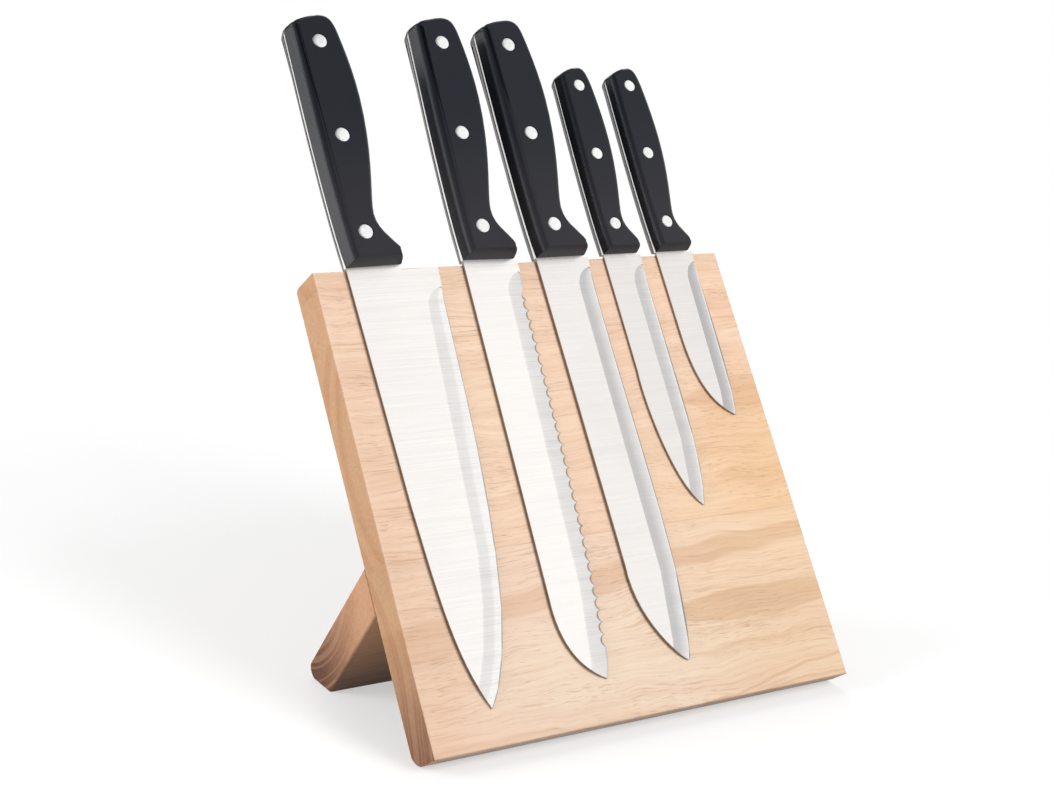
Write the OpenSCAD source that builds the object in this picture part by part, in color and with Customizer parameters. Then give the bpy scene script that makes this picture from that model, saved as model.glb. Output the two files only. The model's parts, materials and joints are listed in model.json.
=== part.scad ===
// Magnetic knife easel with five knives.
// A leaning board of edge-glued hardwood holds the knives with two rows of hidden magnets. A leg of the
// same stock, hinged behind it, props it up and folds flat against its back. The table is z = 0.

/* [Board] */
// Width of the board across its face
board_w = 220; // [212:1:300]
// Height of the board, measured up its slope
board_h = 215; // [212:1:260]
// Thickness of the board
board_t = 20; // [18:0.5:26]
// Lean of the board back from upright, in degrees
lean = 36; // [32:0.5:38]
// Radius of the lower back edge, which the board rests on
heel_r = 9; // [6:0.5:12]
// Radius of the upper back edge
crown_r = 3.5; // [1.5:0.5:6]
// Radius that eases every other edge of the board and the leg
ease_r = 1; // [0.5:0.1:1.4]

/* [Leg] */
// Thickness of the leg
leg_t = 20; // [16:0.5:22]
// Angle between the leg and the board's lower back when the leg stands on its stop
apex = 73; // [66:0.5:78]
// Distance up the board's back from its lower end to the hinge pins
pivot_s = 66; // [60:1:72]
// Radius of the foot's rear corner
foot_r = 5; // [2:0.5:6]

/* [Hinges] */
// Length of each butt hinge
hinge_len = 40; // [30:1:60]
// Width of each hinge leaf, from the pin outwards
leaf_w = 20; // [16:0.5:24]
// Thickness of a hinge leaf
leaf_t = 1.2; // [1:0.1:1.6]
// Outer radius of the knuckles
knuckle_r = 2.4; // [2.1:0.1:3]
// Radius of the hinge pins
pin_r = 1.25; // [1:0.05:1.5]
// Distance between the middles of the two hinges
hinge_span = 140; // [110:1:160]
// Radius of a screw's shank
screw_r = 1.6; // [1.2:0.05:2]
// Radius of a screw's head
screw_head_r = 3.1; // [2.6:0.1:3.6]
// Length of a screw
screw_len = 14; // [10:0.5:15]
// Distance of the screws from the pin
screw_row = 12; // [9:0.5:14]
// Distance between the two screws of a leaf
screw_pitch = 24; // [18:0.5:24]

/* [Magnets] */
// Wood left in front of the magnets
skin_t = 3; // [2:0.25:5]
// Side of a square magnet
magnet_side = 20; // [14:0.5:22]
// Thickness of a magnet
magnet_t = 5; // [3:0.5:6]
// Distance between neighbouring magnets' middles
magnet_pitch = 26; // [24:0.5:27]
// Magnets in a row
magnet_count = 7; // [3:1:7]
// Thickness of the steel strip behind the magnets
keeper_t = 2; // [1:0.25:3]
// Distance from the board's top edge to the middle of the upper row
upper_row = 40; // [30:1:50]
// Distance from the board's top edge to the middle of the lower row
lower_row = 100; // [80:1:102]

/* [Large handles] */
// Length of the chef's, bread and slicing knives' handles
large_len = 123.5; // [110:0.5:140]
// Width at the finger guard
large_guard = 28.2; // [24:0.1:29]
// Width at the neck behind the guard
large_neck = 17.3; // [16:0.1:20]
// Width at the belly
large_belly = 24.5; // [22:0.1:27]
// Width at the butt
large_butt = 21.3; // [19:0.1:24]
// How far the spine side bows out
large_bow = 2.9; // [0:0.1:4]
// Distance from the blade end to the neck
large_neck_v = 22; // [18:0.5:26]
// Distance from the butt to the belly
large_belly_v = 43.5; // [36:0.5:52]
// How far the spine side slopes in over a scale's thickness
large_slope = 4.1; // [2:0.1:5]
// Thickness of one scale
large_scale_t = 8; // [6:0.25:9]
// Radius of a rivet head
large_rivet_r = 3.6; // [3:0.1:4]
// Distance from the butt to the last rivet
large_last_rivet = 14.9; // [12:0.1:20]
// Distance of the rivets from the neck's middle, towards the edge side
large_rivet_shift = 1; // [0:0.1:2]

/* [Small handles] */
// Length of the utility and paring knives' handles
small_len = 99; // [90:1:112]
// Width at the finger guard
small_guard = 20.7; // [18:0.1:22]
// Width at the neck behind the guard
small_neck = 13.5; // [12.5:0.1:15]
// Width at the belly
small_belly = 17.8; // [16:0.1:20]
// Width at the butt
small_butt = 15.8; // [13.5:0.1:17]
// How far the spine side bows out
small_bow = 2.3; // [0:0.1:3.5]
// Distance from the blade end to the neck
small_neck_v = 17.5; // [15:0.5:21]
// Distance from the butt to the belly
small_belly_v = 40; // [30:0.5:45]
// How far the spine side slopes in over a scale's thickness
small_slope = 2.9; // [1.5:0.1:3.5]
// Thickness of one scale
small_scale_t = 6; // [5:0.25:7]
// Radius of a rivet head
small_rivet_r = 3.2; // [2.6:0.1:3.4]
// Distance from the butt to the last rivet
small_last_rivet = 11; // [9:0.1:15]
// Distance of the rivets from the neck's middle, towards the edge side
small_rivet_shift = 0.5; // [0:0.1:1.5]

/* [Chef's knife] */
// Distance from the board's left side to the blade's spine
chef_x = 15.2; // [10:0.1:20]
// Length of the blade
chef_len = 200.1; // [150:0.5:205]
// Width of the blade at the heel
chef_w = 45.7; // [40:0.1:50]
// Width of the ground bevel
chef_bevel = 9.6; // [6:0.1:12]
// Distance below the handle at which the bevel starts
chef_plunge = 12; // [4:0.5:16]
// How far the heel drops below the handle
chef_heel = 2.5; // [0.5:0.1:3]
// Tilt of the spine on the board, top to the right, in degrees
chef_tilt = -1.2; // [-1.5:0.1:1.5]
// Extra gap between the board's top edge and the handle
chef_lift = 0; // [0:0.1:2]

/* [Bread knife] */
// Distance from the board's left side to the blade's spine
bread_x = 74.7; // [72:0.1:78]
// Length of the blade
bread_len = 197.5; // [150:0.5:205]
// Width of the blade at the heel
bread_w = 28.6; // [27.5:0.1:32]
// Width of the ground bevel
bread_bevel = 9.3; // [7:0.1:12]
// Distance below the handle at which the bevel starts
bread_plunge = 6.5; // [4:0.5:16]
// How far the heel drops below the handle
bread_heel = 0.8; // [0.5:0.1:3]
// Tilt of the spine on the board, top to the right, in degrees
bread_tilt = 1.1; // [-1.5:0.1:1.5]
// Extra gap between the board's top edge and the handle
bread_lift = 1.2; // [0:0.1:2]
// Distance from one scallop to the next
scallop_pitch = 5.45; // [4:0.05:8]
// Depth of a scallop
scallop_depth = 1.9; // [1:0.05:2]
// Distance from the handle to the first scallop
scallop_start = 14.8; // [12:0.1:30]

/* [Slicing knife] */
// Distance from the board's left side to the blade's spine
slicer_x = 113.9; // [112:0.1:116]
// Length of the blade
slicer_len = 196; // [150:0.5:205]
// Width of the blade at the heel
slicer_w = 28.8; // [27.5:0.1:32]
// Width of the ground bevel
slicer_bevel = 9.1; // [6:0.1:12]
// Distance below the handle at which the bevel starts
slicer_plunge = 6; // [4:0.5:16]
// How far the heel drops below the handle
slicer_heel = 0.8; // [0.5:0.1:3]
// Tilt of the spine on the board, top to the right, in degrees
slicer_tilt = -0.3; // [-1.5:0.1:1.5]
// Extra gap between the board's top edge and the handle
slicer_lift = 0.5; // [0:0.1:2]

/* [Utility knife] */
// Distance from the board's left side to the blade's spine
utility_x = 152.3; // [151:0.1:154]
// Length of the blade
utility_len = 127.7; // [100:0.1:160]
// Width of the blade at the heel
utility_w = 21.3; // [20:0.1:24]
// Width of the ground bevel
utility_bevel = 7.9; // [5:0.1:9]
// Distance below the handle at which the bevel starts
utility_plunge = 6; // [4:0.5:16]
// How far the heel drops below the handle
utility_heel = 0.8; // [0.5:0.1:3]
// Tilt of the spine on the board, top to the right, in degrees
utility_tilt = 0.1; // [-1.5:0.1:1.5]
// Extra gap between the board's top edge and the handle
utility_lift = 0.8; // [0:0.1:2]

/* [Paring knife] */
// Distance from the board's left side to the blade's spine
paring_x = 183.1; // [182:0.1:184]
// Length of the blade
paring_len = 86; // [70:0.5:110]
// Width of the blade at the heel
paring_w = 21.5; // [20:0.1:24]
// Width of the ground bevel
paring_bevel = 7.3; // [5:0.1:9]
// Distance below the handle at which the bevel starts
paring_plunge = 6; // [4:0.5:16]
// How far the heel drops below the handle
paring_heel = 0.8; // [0.5:0.1:3]
// Tilt of the spine on the board, top to the right, in degrees
paring_tilt = -0.3; // [-1.5:0.1:1.5]
// Extra gap between the board's top edge and the handle
paring_lift = 0.7; // [0:0.1:2]

/* [Blades and rivets] */
// Thickness of the three long blades
long_blade_t = 1.8; // [1.6:0.1:2.6]
// Thickness of the two short blades
short_blade_t = 1.4; // [1.2:0.1:2]
// Thickness left at the cutting edge
edge_t = 0.3; // [0.2:0.05:0.5]
// Radius of the curve in which the bevel starts
plunge_r = 11; // [6:0.5:14]
// Angle by which every handle drops from the line of its spine, in degrees
handle_drop = 2.3; // [0:0.1:3]
// Radius of a rivet's shank
shank_r = 2; // [1.5:0.1:2.4]
// Depth of a rivet's head
rivet_head_t = 3; // [2:0.25:4]
// Gap between the board's top edge and the handles
handle_gap = 0.4; // [0.3:0.1:3]

/* [Fits] */
// Gap between the leg's mitred top and the board's back
seat_gap = 0.1; // [0.05:0.05:0.2]
// Gap between the folded leg's inner face and the board's back
fold_gap = 0.3; // [0.25:0.05:0.6]
// Gap between a blade's back and the board's face
blade_gap = 0.1; // [0.05:0.05:0.3]
// Radial clearance of a pin in the leg leaf's knuckle
pin_run = 0.06; // [0.02:0.01:0.1]
// Clearance of inlaid, let-in and screwed-in pieces
let_in = 0.1; // [0.05:0.05:0.2]

/* [Hidden] */
$fn = 48;
past = 1;                 // how far a cutter runs past the face it cuts

wood = "burlywood";
plain_steel = "silver";
zinc = "lightgray";
black = [0.1, 0.1, 0.11];

// ---- Curves ----
function bez(p, t) = pow(1 - t, 3) * p[0] + 3 * pow(1 - t, 2) * t * p[1] + 3 * (1 - t) * t * t * p[2]
    + pow(t, 3) * p[3];
function bez_dir(p, t) = pow(1 - t, 2) * (p[1] - p[0]) + 2 * (1 - t) * t * (p[2] - p[1])
    + t * t * (p[3] - p[2]);
function curve(p, n, first = 0) = [for (i = [first : n]) bez(p, i / n)];
function unit(v) = v / norm(v);

// Place along a curve that runs downwards where it passes height v, found by halving
function place_at(p, v, low = 0, high = 1, steps = 22) =
    let (mid = (low + high) / 2)
    steps == 0 ? mid
    : bez(p, mid)[1] > v ? place_at(p, v, mid, high, steps - 1)
    : place_at(p, v, low, mid, steps - 1);

// ---- Handles ----
// A handle's outline is drawn with the blade's spine at u = 0 and the blade's root at v = 0, the edge side
// towards +u and the butt towards +v. Its spine bows out by its bow, and the whole is sheared by handle_drop.
// Places of a handle's sizes in its list:
LEN = 0;
GUARD = 1;
NECK = 2;
BELLY = 3;
BUTT = 4;
BOW = 5;
SCALE_T = 6;
RIVET_R = 7;
NECK_V = 8;
BELLY_V = 9;
RIVET_U = 10;
LAST_RIVET = 11;
SIDE_INSET = 12;
CORNER_R = 13;
GUARD_V = 14;
GUARD_EASE = 15;

butt_fall = 11;           // how far below the top of the butt its corners start to round
first_rivet = 13.5;       // distance of the first rivet from the blade
edge_inset = 2.6;         // how far the front face is set in from the edge side
guard_inset = 0.45;       // from the widest part of the guard, as a share of the scale's thickness
butt_inset = 2.4;         // and from the butt
root_inset = 2.2;         // and from the blade end, which is bevelled
mitre_share = 0.12;       // share of the guard corner's radius that is left on the front face

// How the sides of a scale come in as it rises: [share of its thickness, share of the inset for the rounded
// edge side and butt, share for the sloping spine side and blade end]
rise_table = [[0, 0, 0], [0.4, 0.03, 0.28], [0.65, 0.14, 0.5], [0.84, 0.38, 0.74], [0.95, 0.68, 0.91],
    [1, 1, 1]];

// The end of a guard: radius of its lower corner, height of its widest point, and how gradually it turns
// towards the neck. The chef's knife has a crisper one, with a flat between its two corners.
round_guard = [2, 3.2, 0.28];
crisp_guard = [1.2, 5.2, 0.09];
large_sizes = [large_len, large_guard, large_neck, large_belly, large_butt, large_bow, large_scale_t,
    large_rivet_r, large_neck_v, large_len - large_belly_v, large_neck / 2 + large_rivet_shift,
    large_last_rivet, large_slope];
small_sizes = [small_len, small_guard, small_neck, small_belly, small_butt, small_bow, small_scale_t,
    small_rivet_r, small_neck_v, small_len - small_belly_v, small_neck / 2 + small_rivet_shift,
    small_last_rivet, small_slope];
crisp_handle = concat(large_sizes, crisp_guard);
large_handle = concat(large_sizes, round_guard);
small_handle = concat(small_sizes, round_guard);

function sheared(points) = [for (p = points) [p[0] + p[1] * tan(handle_drop), p[1]]];

// The edge side of a handle, from the guard's lower corner up to the butt and down the spine side
function handle_rim(h) =
    let (
        corner = [h[GUARD] - h[CORNER_R], h[CORNER_R]],
        guard = [h[GUARD], max(h[GUARD_V], h[CORNER_R])],
        neck = [h[NECK], h[NECK_V]],
        belly = [h[BELLY], h[BELLY_V]],
        butt = [h[BUTT], h[LEN] - butt_fall],
        top = [h[BUTT] * 0.56, h[LEN]],
        shoulder = [1.5 - h[BOW], h[LEN] - 3.6],
        back = [-h[BOW], h[LEN] - 7],
        swoop = h[NECK_V] - guard[1],
        rise = h[BELLY_V] - h[NECK_V],
        fall = butt[1] - h[BELLY_V]
    )
    sheared(concat(
        [for (i = [0 : 3]) corner + h[CORNER_R] * [sin(i * 30), -cos(i * 30)]],
        curve([guard, guard + [0, h[GUARD_EASE] * swoop], [h[NECK], guard[1] + 0.46 * swoop], neck], 9),
        curve([neck, neck + [0, 0.14 * rise], [h[BELLY], h[NECK_V] + 0.48 * rise], belly], 9, 1),
        curve([belly, belly + [0, 0.36 * fall], [(h[BELLY] + h[BUTT]) / 2, h[BELLY_V] + 0.73 * fall], butt],
            5, 1),
        curve([butt, butt + [-1.1, 0.59 * butt_fall], [h[BUTT] * 0.87, h[LEN]], top], 7, 1),
        curve([top, top - [3.4, 0], shoulder + [2, 1.4], shoulder], 4, 1),
        curve([shoulder, shoulder - [0.9, 0.7], [-h[BOW], back[1] + 1.8], back], 3, 1),
        [for (p = curve([back, [-h[BOW], h[LEN] * 0.56], [-h[BOW] * 0.83, h[LEN] * 0.2], [0, 0]], 11, 1))
            if (p[1] > 0.01) p]
    ));

// ---- Blades ----
// A profile gives its curves' control points as [share of width, share of length]: where the spine starts
// to curve, its two controls, the tip, and the edge's two controls.
chef_profile = [0.55, [0.022, 0.76], [0.033, 0.9], [0.26, 1], [0.908, 0.26], [0.897, 0.825]];
bread_profile = [0.81, [-0.018, 0.89], [0.14, 0.967], [0.676, 1], [1.02, 0.4], [0.97, 0.9]];
slicer_profile = [0.765, [-0.087, 0.893], [0.556, 1], [0.688, 1], [0.885, 0.4], [1.128, 0.8]];
utility_profile = [0.47, [-0.07, 0.576], [0.094, 0.924], [0.718, 1], [0.94, 0.41], [1.15, 0.8]];
paring_profile = [0.5, [0, 0.72], [0.163, 0.919], [0.823, 1], [0.977, 0.157], [1.047, 0.86]];

// A knife: place on the board, extra gap above the top edge, tilt of the spine (top to the right), blade
// sizes, drop of the heel below the handle, start of the bevel below the handle, and handle
X = 0;
LIFT = 1;
TILT = 2;
LENGTH = 3;
WIDTH = 4;
THICK = 5;
BEVEL = 6;
HEEL = 7;
PLUNGE = 8;
PROFILE = 9;
HANDLE = 10;
chef = [chef_x, chef_lift, chef_tilt, chef_len, chef_w, long_blade_t, chef_bevel, chef_heel, chef_plunge,
    chef_profile, crisp_handle];
bread = [bread_x, bread_lift, bread_tilt, bread_len, bread_w, long_blade_t, bread_bevel, bread_heel,
    bread_plunge, bread_profile, large_handle];
slicer = [slicer_x, slicer_lift, slicer_tilt, slicer_len, slicer_w, long_blade_t, slicer_bevel, slicer_heel,
    slicer_plunge, slicer_profile, large_handle];
utility = [utility_x, utility_lift, utility_tilt, utility_len, utility_w, short_blade_t, utility_bevel,
    utility_heel, utility_plunge, utility_profile, small_handle];
paring = [paring_x, paring_lift, paring_tilt, paring_len, paring_w, short_blade_t, paring_bevel, paring_heel,
    paring_plunge, paring_profile, small_handle];

function on_profile(k, c) = [c[0] * k[WIDTH], -c[1] * k[LENGTH]];
function spine_curve(k) =
    let (f = k[PROFILE])
    [on_profile(k, [0, f[0]]), on_profile(k, f[1]), on_profile(k, f[2]), on_profile(k, f[3])];
function edge_curve(k) =
    let (f = k[PROFILE])
    [[k[WIDTH], -k[HEEL]], on_profile(k, f[4]), on_profile(k, f[5]), on_profile(k, f[3])];

// Blade and full tang in one outline: down the spine, up the edge, along the heel and round the handle
function blank_outline(k) =
    let (rim = handle_rim(k[HANDLE]), edge = curve(edge_curve(k), 30))
    concat([[0, 0]], curve(spine_curve(k), 14), [for (i = [29 : -1 : 0]) edge[i]],
        [[rim[0][0], -k[HEEL]]], rim);

// ---- Places ----
foot_slope = 90 + lean - apex;                    // slope of the leg from level
corner_z = heel_r - heel_r * cos(lean) + (board_t - heel_r) * sin(lean);
pivot_b = board_t + fold_gap;                     // depth of the pins behind the board's face

function level_y(s, w) = s * sin(lean) - w * cos(lean);
function level_z(s, w) = s * cos(lean) + w * sin(lean);

// The origin is midway between the board's foremost edge and the rearmost point of the handles
function scale_top(k) = [for (p = scale_points(k)) level_y(board_h + handle_gap + k[LIFT] + p[1], -p[2])];
front_y = ease_r * (sin(lean) + cos(lean) - 1);
rear_y = max([for (k = [chef, bread, slicer]) max(scale_top(k))]) - blade_gap * cos(lean);
corner_y = -(front_y + rear_y) / 2;
pivot_y = corner_y + level_y(pivot_s, -pivot_b);
pivot_z = corner_z + level_z(pivot_s, -pivot_b);

// Board frame: x across, y up the slope from the lower end, z out of the front face
module on_board() {
    translate([0, corner_y, corner_z]) rotate([90 - lean, 0, 0]) children();
}

// Leg frame: y down the leg from the pins, z from its inner face into its thickness
module on_leg() {
    translate([0, pivot_y, pivot_z]) rotate([-foot_slope, 0, 0]) children();
}

// Knife frame: x towards the edge, y towards the butt, z out of the board, from the root of the spine
module on_knife(k) {
    on_board()
        translate([k[X] - board_w / 2, board_h + handle_gap + k[LIFT], blade_gap])
            rotate([0, 0, -k[TILT]]) children();
}

module along_x(length) {
    translate([-length / 2, 0, 0]) rotate([90, 0, 90]) linear_extrude(length) children();
}

module rod(r, length) {
    rotate([0, 90, 0]) cylinder(r = r, h = length, center = true);
}

// Rectangle from low to high with its own radius at each corner, anticlockwise from the low corner
module eased_rect(low, high, r) {
    corners = [low, [high[0], low[1]], high, [low[0], high[1]]];
    inward = [[1, 1], [-1, 1], [-1, -1], [1, -1]];
    polygon([for (i = [0 : 3])
        let (
            on_side = [0, inward[i][1]],
            on_end = [inward[i][0], 0],
            first = i % 2 == 0 ? on_side : on_end,
            second = i % 2 == 0 ? on_end : on_side
        )
        each [corners[i] + r[i] * first, corners[i] + r[i] * inward[i], corners[i] + r[i] * second]]);
    for (i = [0 : 3]) translate(corners[i] + r[i] * inward[i]) circle(r[i]);
}

// ---- Board and what is set into its back ----
row_s = [board_h - upper_row, board_h - lower_row];
row_len = (magnet_count - 1) * magnet_pitch + magnet_side;
pocket_w = magnet_side + 2 * let_in;

// Slot with round ends, in the board frame, from depth low to depth high behind the front face
module slot(s, width, straight, low, high) {
    translate([0, s, -high]) {
        translate([-straight / 2, -width / 2, 0]) cube([straight, width, high - low]);
        for (side = [-1, 1]) translate([side * straight / 2, 0, 0]) cylinder(d = width, h = high - low);
    }
}

module slab() {
    intersection() {
        along_x(board_w)
            eased_rect([0, -board_t], [board_h, 0], [heel_r, crown_r, ease_r, ease_r]);
        translate([0, board_h, 0]) rotate([90, 0, 0]) linear_extrude(board_h)
            eased_rect([-board_w / 2, -board_t], [board_w / 2, 0], [ease_r, ease_r, ease_r, ease_r]);
    }
}

module front_board() {
    color(wood) on_board() difference() {
        slab();
        for (s = row_s) slot(s, pocket_w, row_len, skin_t, board_t + past);
        for (side = [-1, 1]) translate([side * hinge_span / 2, 0, 0]) {
            translate([-hinge_len / 2 - let_in, pivot_s - leaf_w - let_in, -board_t - past])
                cube([hinge_len + 2 * let_in, leaf_w + let_in, past + leaf_t + let_in]);
            translate([0, pivot_s, -pivot_b]) rod(knuckle_r + fold_gap, hinge_len + 2 * let_in);
            for (c = [-1, 1]) translate([c * screw_pitch / 2, pivot_s - screw_row, -board_t]) screw_hole();
        }
    }
}

module cover(s) {
    color(wood) on_board()
        slot(s, magnet_side, row_len, skin_t + magnet_t + keeper_t, board_t);
}

module keeper(s) {
    color(plain_steel) on_board()
        slot(s, magnet_side, row_len, skin_t + magnet_t, skin_t + magnet_t + keeper_t);
}

module magnets(s) {
    color(plain_steel) on_board()
        for (i = [0 : magnet_count - 1])
            translate([(i - (magnet_count - 1) / 2) * magnet_pitch, s, -skin_t - magnet_t / 2])
                cube([magnet_side, magnet_side, magnet_t], center = true);
}

// ---- Leg ----
// Its side outline, level with the table: the inner face runs through the pins, the mitred top lies on the
// board's back, and the foot is cut level
module leg_outline() {
    down = [cos(foot_slope), -sin(foot_slope)];
    out = [sin(foot_slope), cos(foot_slope)];
    pivot = [pivot_y, pivot_z];
    top_in = pivot - down * (fold_gap - seat_gap) / sin(apex);
    top_out = pivot + out * leg_t - down * (fold_gap - seat_gap + leg_t * cos(apex)) / sin(apex);
    foot_in = pivot + down * pivot_z / sin(foot_slope);
    foot_out = pivot + out * leg_t + down * (pivot_z + leg_t * cos(foot_slope)) / sin(foot_slope);
    centre = [foot_out[0] - foot_r / tan(foot_slope / 2), foot_r];
    turn = 180 - foot_slope;
    foot_arc = [for (i = [0 : 16]) centre + foot_r * [sin(i * turn / 16), -cos(i * turn / 16)]];
    polygon(concat([top_in, foot_in], foot_arc, [top_out]));
}

module rear_leg() {
    color(wood) difference() {
        intersection() {
            along_x(board_w) leg_outline();
            on_leg() translate([0, -leg_t, 0]) rotate([90, 0, 0]) mirror([0, 0, 1])
                linear_extrude(pivot_z / sin(foot_slope) + 3 * leg_t)
                    eased_rect([-board_w / 2, 0], [board_w / 2, leg_t], [ease_r, ease_r, ease_r, ease_r]);
        }
        on_leg() for (side = [-1, 1]) translate([side * hinge_span / 2, 0, 0]) {
            translate([-hinge_len / 2 - let_in, -past, -past])
                cube([hinge_len + 2 * let_in, past + leaf_w + let_in, past + leaf_t + let_in]);
            rod(knuckle_r + fold_gap, hinge_len + 2 * let_in);
            for (c = [-1, 1]) translate([c * screw_pitch / 2, screw_row, 0]) screw_hole();
        }
    }
}

// ---- Hinges ----
// The board leaf has the two outer knuckles and the leg leaf has the middle one
knuckle_gap = 0.2;
knuckle_len = (hinge_len - 2 * knuckle_gap) / 3;

module knuckles(outer, r, extra = 0) {
    step = knuckle_len + knuckle_gap;
    for (i = outer ? [-1, 1] : [0]) translate([i * step, 0, 0]) rod(r, knuckle_len + extra);
}

// A leaf in a frame with the pin at the origin and the leaf running along +y, its open face at z = face
module leaf(outer, face, bore) {
    difference() {
        union() {
            translate([-hinge_len / 2, 0, face]) cube([hinge_len, leaf_w, leaf_t]);
            knuckles(outer, knuckle_r);
        }
        knuckles(!outer, knuckle_r + knuckle_gap, 2 * knuckle_gap);
        rod(bore, hinge_len + 2 * past);
        for (c = [-1, 1]) translate([c * screw_pitch / 2, screw_row, face]) screw_hole();
    }
}

module board_leaf(side) {
    color(zinc) on_board() translate([side * hinge_span / 2, pivot_s, -pivot_b])
        rotate([0, 0, 180]) leaf(true, fold_gap, pin_r + pin_run / 3);
}

module leg_leaf(side) {
    color(zinc) on_leg() translate([side * hinge_span / 2, 0, 0]) leaf(false, 0, pin_r + pin_run);
}

module hinge_pin(side) {
    color(plain_steel) on_leg() translate([side * hinge_span / 2, 0, 0]) rod(pin_r, hinge_len);
}

// Cutter for a screw's hole and countersink, in the leaf and the wood under it
module screw_hole() {
    hole_r = screw_r + let_in / 2;
    sink_r = screw_head_r + 2 * let_in;
    cylinder(r = hole_r, h = screw_len + let_in);
    translate([0, 0, -let_in]) cylinder(r1 = sink_r, r2 = hole_r, h = sink_r - hole_r);
}

// Countersunk screw, its head's top at z = 0 and its point towards +z
module screw() {
    point = 2 * screw_r;
    cylinder(r1 = screw_head_r, r2 = screw_r, h = screw_head_r - screw_r);
    cylinder(r = screw_r, h = screw_len - point);
    translate([0, 0, screw_len - point]) cylinder(r1 = screw_r, r2 = 0.2, h = point);
}

module board_screws() {
    color(zinc) on_board() for (side = [-1, 1]) for (c = [-1, 1])
        translate([side * hinge_span / 2 + c * screw_pitch / 2, pivot_s - screw_row, -board_t]) screw();
}

module leg_screws() {
    color(zinc) on_leg() for (side = [-1, 1]) for (c = [-1, 1])
        translate([side * hinge_span / 2 + c * screw_pitch / 2, screw_row, 0]) screw();
}

// ---- Knives ----
// The ground bevel is cut away by a strip that follows the edge. Each station holds a point of the edge,
// the way into the blade and the bevel's width there; the width grows along a quarter of an ellipse.
function bevel_stations(k) =
    let (
        p = edge_curve(k),
        start = [for (a = [10 : 16 : 90]) [k[PLUNGE] + plunge_r * (1 - cos(a)), k[BEVEL] * sin(a)]],
        done = k[PLUNGE] + plunge_r,
        rest = [for (i = [1 : 16]) [done + (k[LENGTH] - done) * sin(i / 16 * 90), k[BEVEL]]]
    )
    concat(
        [for (q = concat(start, rest))
            let (t = place_at(p, -q[0]), d = unit(bez_dir(p, t))) [bez(p, t), [d[1], -d[0]], q[1]]],
        [let (d = unit(bez_dir(p, 1))) [bez(p, 1) + 3 * d, [d[1], -d[0]], k[BEVEL]]]
    );

// Corners of the cutter at one station, for the face at z = thick of a blade whose middle is at thick / 2
function bevel_section(station, thick) =
    let (
        e = station[0],
        n = station[1],
        reach = station[2],
        rise = (thick - edge_t) / 2,
        outside = -min(2, reach),
        inside = reach * 1.1,
        height = function (x) (thick + edge_t) / 2 + rise * x / reach
    )
    [
        [e[0] + n[0] * inside, e[1] + n[1] * inside, height(inside)],
        [e[0] + n[0] * outside, e[1] + n[1] * outside, height(outside)],
        [e[0] + n[0] * outside, e[1] + n[1] * outside, thick + past],
        [e[0] + n[0] * inside, e[1] + n[1] * inside, thick + past]
    ];

module bevel_cutter(k) {
    rings = [for (station = bevel_stations(k)) bevel_section(station, k[THICK])];
    last = len(rings) - 1;
    polyhedron(
        points = [for (ring = rings) each ring],
        faces = concat(
            [[0, 1, 2, 3]],
            [for (i = [0 : last - 1]) for (j = [0 : 3]) for (half = [0, 1])
                let (a = 4 * i + j, b = 4 * i + (j + 1) % 4, c = b + 4, d = a + 4)
                half == 0 ? [a, c, b] : [a, d, c]],
            [[4 * last + 3, 4 * last + 2, 4 * last + 1, 4 * last]]
        )
    );
}

module blade(k) {
    color(plain_steel) difference() {
        linear_extrude(k[THICK]) polygon(blank_outline(k));
        bevel_cutter(k);
        translate([0, 0, k[THICK]]) mirror([0, 0, 1]) bevel_cutter(k);
        for (place = rivet_places(k[HANDLE])) translate([place[0], place[1], -past])
            cylinder(r = shank_r + let_in, h = k[THICK] + 2 * past);
    }
}

// Each scallop is a conical cut, wider at the front face, whose points meet on the edge line
scallop_r = (pow(scallop_pitch / 2, 2) + pow(scallop_depth, 2)) / (2 * scallop_depth);
module scallops(k) {
    p = edge_curve(k);
    count = floor((k[LENGTH] * 0.935 - scallop_start) / scallop_pitch);
    flare = 0.25;
    for (i = [0 : count - 1]) {
        t = place_at(p, -scallop_start - (i + 0.5) * scallop_pitch);
        d = unit(bez_dir(p, t));
        centre = bez(p, t) - (scallop_r - scallop_depth) * [d[1], -d[0]];
        translate([centre[0], centre[1], -past])
            cylinder(r1 = scallop_r - flare, r2 = scallop_r + flare, h = k[THICK] + 2 * past);
    }
}

function rivet_places(h) =
    let (last = h[LEN] - h[LAST_RIVET])
    sheared([for (v = [first_rivet, (first_rivet + last) / 2, last]) [h[RIVET_U], v]]);

function scale_rim(k) = concat([[0, 0]], handle_rim(k[HANDLE]));

// Inset of rim point i as [across, along, share of the bevelled kind]. Point 0 is the mitre between the
// bevelled blade end and the spine side, and points 1 to 4 close in on the mitre at the guard.
function rim_inset(k, rim, i) =
    let (
        h = k[HANDLE],
        n = len(rim),
        on_guard = max(0, 10 - i) / 5,
        way = unit((1 - on_guard) * unit(rim[(i + 1) % n] - rim[(i + n - 1) % n]) + on_guard * [0, 1]),
        spine_side = max(0, min(1, (i - n + 15) / 4)),
        crown = max(0, min(1, (rim[i][1] - h[LEN] + butt_fall + 4) / butt_fall)),
        rounded = edge_inset + (butt_inset - edge_inset) * crown,
        side = guard_inset * h[SCALE_T],
        amount = rounded + (side - rounded) * on_guard + (h[SIDE_INSET] - rounded) * spine_side,
        guard_mitre = [rim[4][0] - side, root_inset] + mitre_share * (rim[i] - [rim[1][0], rim[4][1]])
    )
    i == 0 ? [h[SIDE_INSET], root_inset, 1]
    : i <= 4 ? concat(guard_mitre - rim[i], 1)
    : [-way[1] * amount, way[0] * amount, max(spine_side, on_guard)];

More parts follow.
